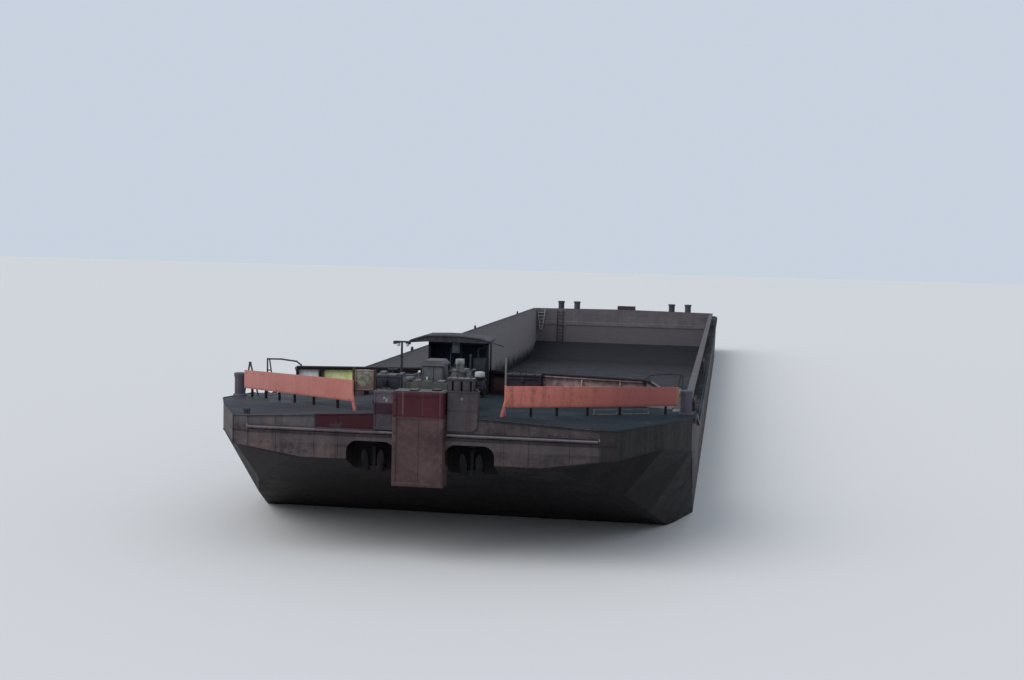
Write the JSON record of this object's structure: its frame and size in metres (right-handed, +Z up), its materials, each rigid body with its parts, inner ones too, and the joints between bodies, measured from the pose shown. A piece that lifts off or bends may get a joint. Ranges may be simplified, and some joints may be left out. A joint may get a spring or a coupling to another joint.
{
  "type": "river barge scale model",
  "caption": "Scale model of a pushed open-hold river cargo barge with raked bow, deck windlass, shelter and low coamings round one long hold.",
  "frame": {"origin": "centre of the bounding box on the plane of the flat bottom", "axes": "+Y towards the stern, +X towards the port side, +Z up; the bow points to -Y"},
  "size_m": [1.62, 8.56, 0.737],
  "materials": {
    "hull": "weathered dark brown-grey paint with rust",
    "dark_steel": "worn dark steel",
    "rust_red": "faded red-brown paint, rusty",
    "maroon": "dark maroon primer over rust",
    "steel_grey": "weathered grey paint",
    "board_red": "matt coral red paint",
    "pale_grey": "pale grey paint",
    "wall_grey": "scuffed grey-brown bare plate"
  },
  "bodies": {
    "barge": {"hull_bow_plate": "hull", "hull_forepeak": "hull", "hull_afterpeak": "hull", "double_bottom": "hull", "hold_slope_fore": "wall_grey", "hold_slope_aft": "wall_grey", "wing_tank_fore_port": "hull", "wing_tank_port": "hull", "wing_tank_fore_starboard": "hull", "wing_tank_starboard": "hull", "skeg_port": "hull", "skeg_starboard": "hull", "bow_hatch_rim_port": "steel_grey", "bow_hatch_rim_starboard": "steel_grey", "stern_hatch_rim": "steel_grey", "bow_coupling_block": "maroon", "stern_coupling_block": "maroon", "bow_chest_starboard": "steel_grey", "bow_guide_port": "steel_grey", "anchor_port": "dark_steel", "anchor_starboard": "dark_steel", "name_board_port": "board_red", "name_board_starboard": "board_red", "deck_stand_inner": "rust_red", "bow_bollard_port": "dark_steel", "bow_bollard_starboard": "dark_steel", "stern_bollards_port": "dark_steel", "stern_bollards_starboard": "dark_steel", "coaming_ramp_port": "wall_grey", "coaming_ramp_starboard": "wall_grey", "coaming_port": "wall_grey", "coaming_starboard": "wall_grey", "coaming_fore": "rust_red", "coaming_aft": "wall_grey", "hold_ladder_aft": "rust_red", "hold_ladder_corner": "pale_grey", "windlass_bed": "dark_steel", "windlass_gearcase": "steel_grey", "windlass_cabinet": "steel_grey", "shelter_walls": "dark_steel", "shelter_roof": "rust_red", "shelter_engine": "steel_grey", "locker_body": "dark_steel", "lamp_mast": "dark_steel", "guard_rail_port": "dark_steel", "guard_rail_starboard": "dark_steel", "deck_stand_outer": "dark_steel", "deck_ladder": "pale_grey", "deck_vent_port": "pale_grey", "deck_vent_middle": "pale_grey"},
    "windlass_shaft": {"windlass_shaft": "dark_steel"},
    "locker_lid": {"locker_lid": "dark_steel"},
    "bow_hatch_lid_port": {"bow_hatch_lid_port": "steel_grey"},
    "bow_hatch_lid_starboard": {"bow_hatch_lid_starboard": "steel_grey"},
    "stern_hatch_lid": {"stern_hatch_lid": "steel_grey"}
  },
  "joints": [
    {"name": "windlass_turn", "type": "hinge", "parent": "barge", "child": "windlass_shaft", "pos_m": [0, -4.025, 0.606], "axis": [1, 0, 0], "continuous": true},
    {"name": "bow_hatch_port_swing", "type": "hinge", "parent": "barge", "child": "bow_hatch_lid_port", "pos_m": [0.37, -3.569, 0.55526], "axis": [-1, 0, 0], "range_deg": [0, 105]},
    {"name": "bow_hatch_starboard_swing", "type": "hinge", "parent": "barge", "child": "bow_hatch_lid_starboard", "pos_m": [-0.37, -3.569, 0.55526], "axis": [-1, 0, 0], "range_deg": [0, 105]},
    {"name": "stern_hatch_swing", "type": "hinge", "parent": "barge", "child": "stern_hatch_lid", "pos_m": [0, 4.081, 0.45667], "axis": [-1, 0, 0], "range_deg": [0, 105]},
    {"name": "locker_lid_swing", "type": "hinge", "parent": "barge", "child": "locker_lid", "pos_m": [0, -3.497, 0.6055], "axis": [-1, 0, 0], "range_deg": [0, 95]}
  ]
}
